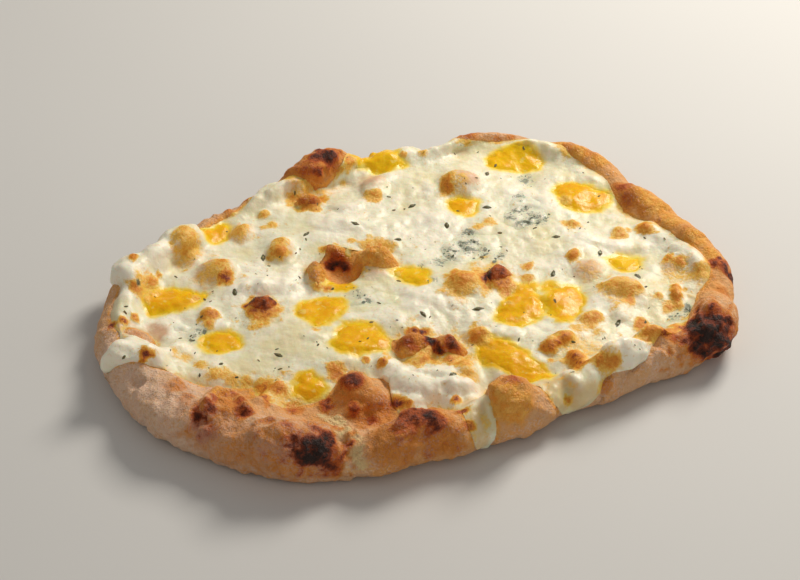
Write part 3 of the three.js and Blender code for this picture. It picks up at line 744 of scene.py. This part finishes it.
# %% White cheese relief
CURDS_SEEN = [
    (125, 275, 20), (158, 250, 16), (120, 356, 18), (155, 352, 16), (268, 286, 24), (234, 290, 12),
    (400, 375, 18), (430, 385, 20), (455, 380, 14), (620, 350, 16), (645, 355, 14), (690, 252, 15),
    (610, 243, 20), (585, 240, 14), (430, 225, 25), (545, 200, 20), (340, 225, 22), (515, 190, 14),
    (600, 300, 14), (295, 188, 12), (575, 330, 14), (420, 300, 20), (170, 325, 14), (655, 240, 16),
]
FLAPS_SEEN = [
    (108, 366, 12), (122, 370, 12), (140, 365, 10), (160, 358, 8), (112, 280, 12), (122, 268, 10),
    (145, 250, 9), (398, 394, 12), (415, 396, 12), (440, 390, 9), (388, 380, 9), (615, 362, 9),
    (632, 366, 10), (650, 360, 11),
]
DRAPES_SEEN = [
    (468, 402, 13), (478, 416, 12), (480, 430, 11), (483, 444, 10), (552, 380, 13), (566, 390, 15),
    (578, 400, 14), (560, 406, 12), (592, 392, 13), (545, 390, 12),
]
STILL_SEEN = [
    (157, 253, 18), (122, 276, 16), (117, 358, 16), (645, 352, 14), (415, 386, 20), (445, 384, 14),
    (690, 252, 14), (600, 243, 18), (640, 246, 16), (380, 300, 20), (240, 345, 18),
]
CURD_RISE = 1.2
FLAP_RISE = 1.0
CLING = 3.0  # height in mm over the dough below which the sheet is too thin for lumps
LIP_REACH = 6 * MM
FLAKE_REACH = 0.95 * MM
LIP_THIN = 0.85
LIP_SINK = 0.5
DRAPE_THIN = 0.4
SETTLE_PASSES = 3
STILLNESS = 0.7

white_points = points_of(white)
white_facing = normals_of(white)
white_toast_and_shade = toast_and_shade_on(white_points)
curds = patches_on(white_points, CURDS_SEEN)
flaps = patches_on(white_points, FLAPS_SEEN)
drapes = patches_on(white_points, DRAPES_SEEN)
lively = smooth(clouds(white_points, 30 * MM, 16) + curds, -0.35, 0.35)
lumps = 0.9 * clouds(white_points, 13 * MM, 6)
lumps += (0.6 + 1.4 * lively) * (curdle(white_points, 8.5 * MM, 7) - 0.15)
lumps += (0.05 + 0.35 * lively + 1.2 * white_toast_and_shade) * (curdle(white_points, 3.6 * MM, 8) - 0.15)
lumps += 0.6 * smooth(white_toast_and_shade, 0.15, 0.6) + CURD_RISE * curds
lumps *= 1 - STILLNESS * patches_on(white_points, STILL_SEEN)
dough_below = [crust_tree.find_nearest(Vector(p)) for p in white_points]
height = np.array([found[3] for found in dough_below]) / MM
clinging = np.clip(1 - height / CLING, 0, 1)
inward = -np.array([found[1] for found in dough_below])
lip = near_line(white_points, lip_tree, LIP_REACH)
herb = near_line(white_points, flake_tree, FLAKE_REACH) * (1 - drapes)
upward = smooth(white_facing[:, 2], -0.1, 0.4)
white_swell = swell(white_points) * upward
thinned = np.maximum(LIP_THIN * lip, DRAPE_THIN * drapes) * (1 - flaps)
free = (0.25 + 0.75 * upward) * (1 - clinging) * (1 - lip)
shift = white_facing * (lumps * free + FLAP_RISE * flaps)[:, None]
settled = inward * (height * thinned + LIP_SINK * lip * (1 - flaps))[:, None]
settled = np.column_stack([even_out(white, part, SETTLE_PASSES) for part in settled.T])
shift += np.outer(white_swell, UP) + settled
move(white, shift * MM)
print("white cheese lifted by up to", round(float(white_swell.max()), 1), "mm")

# %% [markdown]
# ## Outlines of pools and lumps
# A pool of yellow cheese is deep in the middle and thins out until it is lost in the white. So what
# matters at any place is how far inside a pool's outline it lies on plan. The outline is the edge of
# the top of each solid, and a tree of the solids pressed flat tells inside from outside.

# %% Outlines of pools and lumps
TOP_FACING = 0.3
OUTLINE_STEPS = 6
FLAT = 0.01 * MM
EDGE_WAVES = 1.8
EDGE_RIPPLES = 0.8


def outline_of(names):
    """The solids of these names pressed flat, and points along the outline of their tops."""
    shape = bmesh.new()
    for name in names:
        shape.from_mesh(solids[name].data)
    bmesh.ops.remove_doubles(shape, verts=shape.verts, dist=MERGE)
    line = []
    for edge in shape.edges:
        facing = [face.normal.z > TOP_FACING for face in edge.link_faces]
        if any(facing) and not all(facing):
            start, end = (corner.co.xy.to_3d() for corner in edge.verts)
            line += [start.lerp(end, step / OUTLINE_STEPS) for step in range(OUTLINE_STEPS)]
    bmesh.ops.scale(shape, vec=(1, 1, 0), verts=shape.verts)
    pressed = BVHTree.FromBMesh(shape)
    shape.free()
    print("points along the outlines:", len(line))
    return pressed, line_tree(line)


def depth_in(points, outline):
    """How far in mm inside an outline each point lies on plan, with a wavy edge. Below 0 it is outside."""
    pressed, line = outline
    plan = points * (1, 1, 0)
    inside = np.array([pressed.find_nearest(Vector(p))[3] < FLAT for p in plan])
    away = np.array([line.find(Vector(p))[2] for p in plan]) / MM
    waves = EDGE_WAVES * clouds(plan, 7 * MM, 9) + EDGE_RIPPLES * clouds(plan, 2.6 * MM, 10)
    return np.where(inside, away, -away) + waves


pool_outline = outline_of(yellow_names)
lump_outline = outline_of(blue_names)

# %% [markdown]
# ## Pools and lumps in the sheet
# Each point of a pool is set by its height over the finished sheet: below it at the outline, a little
# above it in the middle, and wavy between. The blue lumps are set likewise.

# %% Pools and lumps
LOOK_FROM = 5 * MM
LOOK_TO = 12 * MM
LEVEL_PASSES = 8
ground = tree_of([white, dough])


def lay_in_sheet(piece, outline, sunk, tall, wave):
    """Sets a piece's points by height over the sheet, and returns those heights in mm."""
    points = points_of(piece)
    top = smooth(normals_of(piece)[:, 2], -0.2, 0.3)
    body = smooth(depth_in(points, outline), -2.0, 5.5) * top
    ripple = curdle(points, 6 * MM, 13) + 0.5 * clouds(points, 3 * MM, 10)
    height = body * (tall + wave * ripple) - sunk
    level = LOOK_FROM - gap_along(points + np.array(UP) * LOOK_FROM, ground, DOWN, LOOK_TO)
    level = np.where(level > LOOK_FROM - LOOK_TO, level, 0)
    raised = even_out(piece, level, LEVEL_PASSES) + height * MM
    move(piece, np.outer(raised, UP))
    return height


pool_height = lay_in_sheet(yellow, pool_outline, sunk=0.6, tall=1.5, wave=0.9)
lump_height = lay_in_sheet(blue, lump_outline, sunk=0.7, tall=1.2, wave=1.6)
for name, height in (("pools", pool_height), ("lumps", lump_height)):
    print(name, "stand up to", round(float(height.max()), 1), "mm above the sheet")

# %% [markdown]
# ## What the picture shows
# The surfaces have their final shape now. From here on a pixel is found on them, so that each colour
# lies where the picture shows it.

# %% What the picture shows
surface = tree_of([dough, white, yellow, blue])
spots = find_spots()
dough_points = points_of(dough)
white_points = points_of(white)
yellow_points = points_of(yellow)
blue_points = points_of(blue)
print("toasted spots found again:", len(spots))

# %% [markdown]
# ## Gold and flour
# The dough's colour runs from pale, where flour kept it cool, to golden. Broad patches are read off
# the picture as a pixel, a half-size, how golden it is there and how much flour lies on it. At one fold
# the rim has torn open, and its pale crumb shows.

# %% Gold and flour
DOUGH_PATCHES = [
    (110, 350, 30, 0.25, 0.75), (140, 385, 45, 0.15, 0.9), (180, 415, 40, 0.2, 0.85),
    (225, 445, 40, 0.6, 0.7), (270, 450, 40, 0.65, 0.7), (300, 420, 25, 0.7, 0.2),
    (345, 440, 18, 0.25, 0.2), (355, 460, 15, 0.2, 0.3), (400, 440, 35, 0.85, 0.35),
    (440, 430, 30, 0.85, 0.3), (430, 405, 25, 0.9, 0.1), (505, 395, 25, 0.85, 0.05),
    (515, 425, 20, 0.55, 0.35), (600, 395, 30, 0.5, 0.35), (650, 370, 30, 0.3, 0.5),
    (680, 350, 20, 0.5, 0.35), (720, 290, 20, 0.75, 0.0), (705, 235, 30, 0.8, 0.0),
    (670, 205, 30, 0.8, 0.0), (635, 180, 25, 0.85, 0.0), (600, 158, 20, 0.6, 0.1),
    (570, 143, 20, 0.55, 0.1), (520, 130, 25, 0.4, 0.3), (300, 170, 30, 0.85, 0.0),
    (100, 320, 20, 0.5, 0.3), (97, 345, 15, 0.45, 0.4), (170, 380, 15, 0.55, 0.3), (250, 400, 25, 0.8, 0.1),
    (340, 390, 25, 0.75, 0.1), (338, 275, 22, 0.95, 0.0), (262, 303, 16, 0.95, 0.0),
    (420, 345, 22, 0.95, 0.0), (376, 256, 22, 0.95, 0.0), (452, 348, 18, 0.95, 0.0),
    (498, 273, 16, 0.95, 0.0), (226, 398, 18, 0.95, 0.0), (240, 404, 14, 0.95, 0.0),
    (270, 394, 18, 0.95, 0.0), (207, 404, 12, 0.9, 0.0), (510, 392, 24, 0.95, 0.0),
]
CRUMB_SEEN = [(346, 432, 13), (354, 450, 11), (336, 422, 11), (361, 464, 8), (325, 416, 7)]
PLAIN_WEIGHT = 0.15
PLAIN_GOLD = 0.55
PLAIN_FLOUR = 0.35

weight = np.full(len(dough_points), PLAIN_WEIGHT)
gold = np.full(len(dough_points), PLAIN_WEIGHT * PLAIN_GOLD)
flour = np.full(len(dough_points), PLAIN_WEIGHT * PLAIN_FLOUR)
for u, v, size, golden, floury in DOUGH_PATCHES:
    share = np.exp(-from_pixel(dough_points, u, v, size) ** 2)
    weight += share
    gold += share * golden
    flour += share * floury
paint(dough, "toast_and_shade", toast_and_shade_on(dough_points))
paint(dough, "gold", gold / weight)
paint(dough, "flour", flour / weight)
paint(dough, "high", smooth(rise, -1.5, 2.0))
paint(dough, "glaze_and_sheen", np.maximum(patches_on(dough_points, GLAZE_AND_SHEEN_SEEN), 0.6 * at_lip * bare))
paint(dough, "crumb", patches_on(dough_points, CRUMB_SEEN))
print("patches of gold and flour:", len(DOUGH_PATCHES))

# %% [markdown]
# ## Baked dough
# The finish goes from pale dough through gold to toasted brown and char, and the spots of painted shade in
# dark pockets take the same dark colours. Noise breaks up every edge, flour is a dusty speckle, and fine
# bump gives the matt, grainy skin. The hollows of that bump are painted darker, as painted shade. Glazed
# patches are cheese glaze painted bright, partly as painted light: a painted sheen on the back and right
# of the rim, and a brighter colour on bubble faces that lie in shade.

# %% Baked dough
DOUGH_TOAST = [
    (0.06, 0.36, rgb(220, 136, 50)), (0.32, 0.58, rgb(190, 88, 28)),
    (0.54, 0.8, rgb(112, 46, 20)), (0.76, 1.0, rgb(44, 26, 19)),
]


def toasted(colour, depth, stages):
    """A colour that goes through the stages of toasting as its depth rises."""
    for low, high, tone in stages:
        colour = depth.between(low, high).choose(colour, tone)
    return colour


baked, at = new_material("baked_dough")
mottle = at.grain(10 * MM, 5, 0.65).between(0.25, 0.75)
speck = at.grain(1.2 * MM, 3, 0.7).between(0.25, 0.75)
crumble = at.grain(3.2 * MM, 4, 0.7).between(0.3, 0.7)
golden = at.painted("gold") + (mottle - 0.5) * 0.6 + (at.painted("high") - 0.5) * 0.4
golden = golden.between(0.1, 0.9)
skin = golden.choose(rgb(230, 184, 140), rgb(236, 166, 88))
dusty = (at.painted("flour") + speck - 0.5 + (mottle - 0.5) * 0.7).between(0.25, 0.95)
skin = (dusty * 0.7).choose(skin, rgb(238, 208, 186))
torn = (at.painted("crumb") + (crumble - 0.5) * 0.7).between(0.25, 0.7)
skin = torn.choose(skin, rgb(238, 206, 148))
# painted shade: where the crumble noise is low, in the hollows of the bump relief, the skin is painted a
# darker brown
pit_shade = (1 - crumble).between(0.45, 1.0) * (0.35 + 0.4 * mottle)
skin = (pit_shade * 0.3).choose(skin, rgb(196, 108, 48))
# cheese glaze on bare bubbles and along the lip, painted bright: partly real glaze, partly painted sheen
# and painted light on faces in shade
glaze_and_sheen = (at.painted("glaze_and_sheen") + (crumble - 0.5) * 0.3).between(0.15, 0.6)
skin = glaze_and_sheen.choose(skin, crumble.choose(rgb(252, 190, 88), rgb(236, 150, 46)))
crisp = at.painted("toast_and_shade").between(0.05, 0.35)
toast_and_shade = at.painted("toast_and_shade") * (0.68 + 0.17 * mottle + 0.3 * crumble) + (speck - 0.5) * 0.14 * crisp
toast_and_shade = toast_and_shade + (at.painted("gold") * mottle).between(0.4, 0.8) * 0.1 - glaze_and_sheen * 0.12
skin = toasted(skin, toast_and_shade, DOUGH_TOAST)
dusted = dusty * toast_and_shade.between(0.1, 0.2) * (1 - toast_and_shade.between(0.5, 0.75))
skin = (dusted * 0.4).choose(skin, rgb(222, 194, 172))
relief = speck * 0.2 + crumble * 0.45 + mottle * 0.4
bumps = at.node("ShaderNodeBump", None, {"Strength": 1.0, "Distance": 1.6 * MM, "Height": relief})
matt = 0.85 - 0.2 * golden - 0.3 * glaze_and_sheen - 0.15 * crisp
dough_look = {"Base Color": skin, "Roughness": matt, "Normal": bumps}
dough_look.update({"Subsurface Weight": 0.06, "Subsurface Scale": 0.003, "Specular IOR Level": 0.3})
finish_material(at, dough_look)
dough.data.materials.append(baked)
print("dough finish has", len(baked.node_tree.nodes), "nodes")

# %% [markdown]
# ## Film, curds, veins and pools
# Over a bubble the cheese is a thin beige film, and in thick curds it is white. Around the veins of blue
# cheese it is grey-green. Where it has run down the rim it is a thin cream drape, and at its lip it is
# lightly toasted. White, yellow and blue melt into each other, so all three are painted by one rule,
# and the yellow fades out over the white in the same way on both sides of a pool's edge.

# %% Film, curds, veins and pools
FILM_SEEN = [
    (371, 178, 16), (467, 173, 15), (587, 267, 16), (623, 284, 20), (214, 268, 21), (189, 247, 18),
    (240, 229, 14), (281, 248, 14), (134, 331, 15), (155, 333, 14), (465, 279, 15), (672, 264, 12),
    (700, 272, 12), (300, 176, 14), (612, 281, 10), (377, 256, 20), (124, 328, 12), (146, 340, 13),
    (316, 273, 13), (652, 329, 14), (668, 347, 14),
]
VEINS_SEEN = [
    (510, 217, 6), (522, 223, 7), (534, 217, 8), (540, 221, 7), (525, 208, 6), (520, 197, 6), (544, 217, 5),
    (516, 212, 5), (530, 222, 6), (469, 233, 7), (466, 250, 8), (462, 243, 6), (452, 257, 6), (472, 242, 6),
    (478, 250, 6), (484, 255, 5), (440, 262, 7), (448, 250, 6), (698, 309, 4), (690, 310, 5), (681, 316, 5),
    (672, 318, 4), (687, 305, 4), (345, 285, 6), (352, 290, 6), (360, 296, 5), (368, 300, 4), (192, 336, 4),
    (203, 333, 4), (198, 330, 4), (525, 180, 8), (430, 280, 5), (420, 267, 4), (365, 270, 5), (500, 256, 5),
]
PALE_POOLS_SEEN = [(626, 260, 16), (514, 152, 24), (380, 158, 24), (330, 283, 10), (411, 272, 14)]
RUN_TOGETHER_SEEN = [
    (515, 290, 13), (530, 287, 12), (550, 288, 13), (566, 298, 12), (540, 304, 14), (562, 312, 11),
    (160, 296, 12), (190, 300, 12), (600, 205, 10), (565, 186, 9), (500, 345, 12), (530, 368, 10),
    (310, 385, 12),
]
LIP_TOAST = 0.3


def paint_melted(piece, points, raised, thin):
    """Paints on a piece what the recipe of melted cheese reads."""
    edge = LIP_TOAST * thin * smooth(clouds(points, 5 * MM, 5), -0.4, 0.3)
    paint(piece, "toast_and_shade", np.maximum(toast_and_shade_on(points), edge))
    paint(piece, "high", smooth(raised, -1.2, 1.6))
    paint(piece, "film", patches_on(points, FILM_SEEN))
    paint(piece, "curd", patches_on(points, CURDS_SEEN + FLAPS_SEEN))
    paint(piece, "drape", np.maximum(patches_on(points, DRAPES_SEEN), 0.7 * thin))
    paint(piece, "vein", patches_on(points, VEINS_SEEN))
    paint(piece, "pale", patches_on(points, PALE_POOLS_SEEN))
    run = 6 * patches_on(points, RUN_TOGETHER_SEEN) - 4
    paint(piece, "yolk", smooth(np.maximum(depth_in(points, pool_outline), run), -4.0, 3.0))


paint(white, "herb", herb)
paint_melted(white, white_points, lumps + 0.25 * white_swell, lip * (1 - flaps) * upward)
paint_melted(blue, blue_points, lump_height, np.zeros(len(blue_points)))
paint_melted(yellow, yellow_points, pool_height, np.zeros(len(yellow_points)))
print("film, curds, veins and pools painted")

# %% [markdown]
# ## Melted cheese
# The sheet is a glossy ivory, yellower and greener where it is thin. It lets light in a little way,
# which the subsurface setting gives. A pool is pale where it thins out, and a deep yellow within. Toasted
# spots go through amber to brown. All three cheeses are mixed by one recipe.

# %% Melted cheese
CHEESE_TOAST = [
    (0.1, 0.34, rgb(238, 188, 78)), (0.3, 0.56, rgb(220, 138, 22)),
    (0.57, 0.86, rgb(150, 60, 16)), (0.84, 1.08, rgb(62, 24, 12)),
]
MELTED = [(white, "white_cheese", 0.45), (yellow, "yellow_cheese", 0.25), (blue, "blue_cheese", 0.45)]


def melted_look(at, shine):
    """What the shader of melted cheese is given, with its pools, veins and toasted spots."""
    broad = at.grain(22 * MM, 3, 0.55)
    curdled = at.grain(6 * MM, 4, 0.65).between(0.25, 0.75)
    fine = at.grain(1.5 * MM, 3, 0.65).between(0.25, 0.75)
    crumble = at.grain(3 * MM, 4, 0.7).between(0.3, 0.7)
    thick = broad * 0.7 + curdled * 0.35 + at.painted("high") * 0.5 + at.painted("curd") * 0.4
    thin = broad.between(0.35, 0.65).choose(rgb(232, 220, 174), rgb(226, 222, 190))
    milk = thick.between(0.5, 1.15).choose(thin, rgb(248, 240, 216))
    freckles = at.grain(2.4 * MM, 3, 0.7).between(0.58, 0.7) * broad.between(0.42, 0.58)
    milk = (freckles * 0.7).choose(milk, rgb(228, 182, 92))
    film = (at.painted("film") * (0.5 + 0.8 * curdled)).between(0.15, 0.75)
    milk = (film * 0.9).choose(milk, rgb(216, 172, 134))
    milk = (at.painted("drape").between(0.2, 0.8) * (0.5 + 0.45 * curdled)).choose(milk, rgb(220, 184, 122))
    mould = (at.painted("vein") + (fine - 0.5) * 0.4 + (crumble - 0.5) * 1.1).between(0.4, 1.0)
    mould = mould * at.painted("vein").between(0.02, 0.2)
    milk = (at.painted("vein") * 0.65).choose(milk, rgb(184, 188, 166))
    milk = (mould * 0.75).choose(milk, rgb(104, 112, 96))
    yolk = at.painted("yolk")
    milk = (yolk + (crumble - 0.5) * 0.15 * yolk).between(0.0, 0.55).choose(milk, rgb(250, 222, 112))
    rich = yolk + (curdled - 0.5) * 0.35 - at.painted("pale") * 0.25
    milk = rich.between(0.25, 0.75).choose(milk, rgb(250, 196, 14))
    milk = rich.between(0.7, 1.15).choose(milk, rgb(240, 168, 0))
    streak = at.grain(5 * MM, 2, 0.6).between(0.6, 0.7) * yolk
    milk = (streak * 0.5).choose(milk, rgb(250, 224, 130))
    crisp = at.painted("toast_and_shade").between(0.05, 0.35)
    toast_and_shade = at.painted("toast_and_shade") * (0.66 + 0.26 * curdled + 0.24 * crumble) + (fine - 0.5) * 0.08 * crisp
    milk = toasted(milk, toast_and_shade, CHEESE_TOAST)
    milk = at.painted("herb").between(0.2, 0.6).choose(milk, rgb(98, 92, 56))
    relief = at.grain(9 * MM, 1, 0.4) + at.grain(4.2 * MM, 1.5, 0.45) * 0.42 + fine * (0.05 + 0.16 * crisp)
    bumps = at.node("ShaderNodeBump", None, {"Strength": 1.0, "Distance": 1.2 * MM, "Height": relief})
    gloss = 0.34 + 0.16 * curdled + 0.1 * crisp - 0.12 * yolk
    look = {"Base Color": milk, "Roughness": gloss, "Normal": bumps}
    look.update({"Subsurface Weight": 0.2, "Subsurface Scale": 0.004, "Specular IOR Level": shine})
    return look


for piece, slot, shine in MELTED:
    melted, at = new_material("melted_" + slot)
    finish_material(at, melted_look(at, shine))
    piece.data.materials.append(melted)
    print(slot, "finish has", len(melted.node_tree.nodes), "nodes")

# %% [markdown]
# ## Small things on the cheese
# Dried herbs and crumbs of blue vein are flakes up to a few millimetres long, and most are small. Each
# is a ball of few sides pressed flat, laid on the surface that carries it and turned by a seeded draw.
# All flakes of a kind are one mesh, each carries its own tone, and one recipe colours both kinds.

# %% Flakes
SHORTEST = 0.4  # half-length in mm
TILT = 0.35
UNEVEN = 0.22

topping = tree_of([white, yellow, blue])


def on_topping(u, v):
    """Place and outward direction of the topping that is seen at a pixel, or None beside it."""
    place, outward, _, _ = topping.ray_cast(EYE, line_of_sight(u, v))
    return (place, outward) if place else None


def add_flake(shape, tones, place, outward, size):
    """A flat flake on a surface: half-length, half-width and half-height in mm."""
    turn = outward.to_track_quat("Z", "Y") @ Quaternion((0, 0, 1), draw.uniform(0, math.tau))
    turn = turn @ Quaternion((1, 0, 0), draw.uniform(-TILT, TILT))
    stand = Matrix.LocRotScale(place + outward * size[2] * 0.5 * MM, turn, Vector(size) * MM)
    made = bmesh.ops.create_icosphere(shape, subdivisions=1, radius=1, matrix=stand)["verts"]
    tone = draw.random()
    for corner in made:
        corner.co += Vector(draw.uniform(-UNEVEN, UNEVEN) * size[1] * MM for _ in range(3))
        corner[tones] = tone


def flake_piece(name, slot, places, longer, rarity, widths, thick):
    """One mesh of flakes: by how much the longest are longer, how rare those are, widths and thickness."""
    shape = bmesh.new()
    tones = shape.verts.layers.float.new("tone")
    for place, outward in places:
        long = SHORTEST + longer * draw.random() ** rarity
        add_flake(shape, tones, place, outward, (long, long * draw.uniform(*widths), thick))
    piece = add_object(name, mesh_of(name, shape))
    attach(piece, "root")
    print(name, "has", len(places), "flakes and", len(piece.data.polygons), "faces")
    return piece


def flake_finish(piece, dark, pale, speckle, grain, share, roughness):
    """Each flake's colour lies between a dark and a pale one, with darker speckles of a size in mm."""
    finish, at = new_material(piece.name)
    colour = at.painted("tone").choose(dark, pale)
    colour = (at.grain(grain * MM) * share).choose(colour, speckle)
    finish_material(at, {"Base Color": colour, "Roughness": roughness})
    piece.data.materials.append(finish)


print("the middle of the picture has topping to lay a flake on:", on_topping(*MIDDLE) is not None)

# %% [markdown]
# The larger herb flakes lie where the picture shows them. Finer dust of the same herb is strewn over
# the rest by the seeded draw.

# %% Herbs
HERBS_SEEN = [
    (304, 336), (318, 345), (317, 342), (236, 318), (244, 325), (259, 361), (277, 349), (289, 367),
    (274, 371), (276, 380), (209, 368), (221, 364), (213, 293), (345, 296), (379, 303), (437, 281),
    (430, 317), (453, 305), (399, 281), (435, 242), (453, 256), (466, 250), (469, 234), (489, 251),
    (501, 247), (499, 257), (532, 238), (544, 239), (500, 233), (555, 301), (551, 315), (452, 306),
    (594, 287), (585, 229), (461, 145), (478, 152), (511, 177), (545, 179), (458, 211), (642, 269),
    (640, 267), (646, 287), (649, 308), (176, 277), (193, 294), (185, 308), (191, 336), (269, 266),
    (267, 271), (338, 209), (296, 253), (257, 258), (256, 274), (296, 280), (413, 188), (394, 210),
    (387, 187), (605, 338), (635, 345), (222, 363), (195, 353), (217, 351), (258, 360),
]
HERBS_STREWN = 90
STREWN_ACROSS = (110, 730)
STREWN_DOWN = (130, 400)
LEVEL_ENOUGH = 0.6

places = [found for found in (on_topping(u, v) for u, v in HERBS_SEEN) if found]
while len(places) < len(HERBS_SEEN) + HERBS_STREWN:
    found = on_topping(draw.uniform(*STREWN_ACROSS), draw.uniform(*STREWN_DOWN))
    if found and found[1].z > LEVEL_ENOUGH:
        places.append(found)
herb_shape = {"longer": 1.2, "rarity": 2, "widths": (0.3, 0.6), "thick": 0.15}
herbs = flake_piece("dried_herbs", "white_cheese", places, **herb_shape)
herb_colours = rgb(78, 80, 48), rgb(140, 118, 70), rgb(30, 26, 20)
flake_finish(herbs, *herb_colours, grain=0.8, share=0.4, roughness=0.75)

# %% [markdown]
# The blue cheese has crumbled as it melted. Crumbs of its dark vein lie in and round the lumps.

# %% Crumbs of blue vein
CRUMBS_EACH = 2
places = []
for u, v, reach in VEINS_SEEN:
    for _ in range(CRUMBS_EACH):
        found = on_topping(u + draw.gauss(0, reach * 0.7), v + draw.gauss(0, reach * 0.5))
        if found:
            places.append(found)
crumb_shape = {"longer": 1.5, "rarity": 3, "widths": (0.5, 0.9), "thick": 0.2}
crumbs = flake_piece("blue_veins", "blue_cheese", places, **crumb_shape)
vein_colours = rgb(104, 112, 94), rgb(156, 158, 134), rgb(70, 76, 64)
flake_finish(crumbs, *vein_colours, grain=0.9, share=0.5, roughness=0.6)
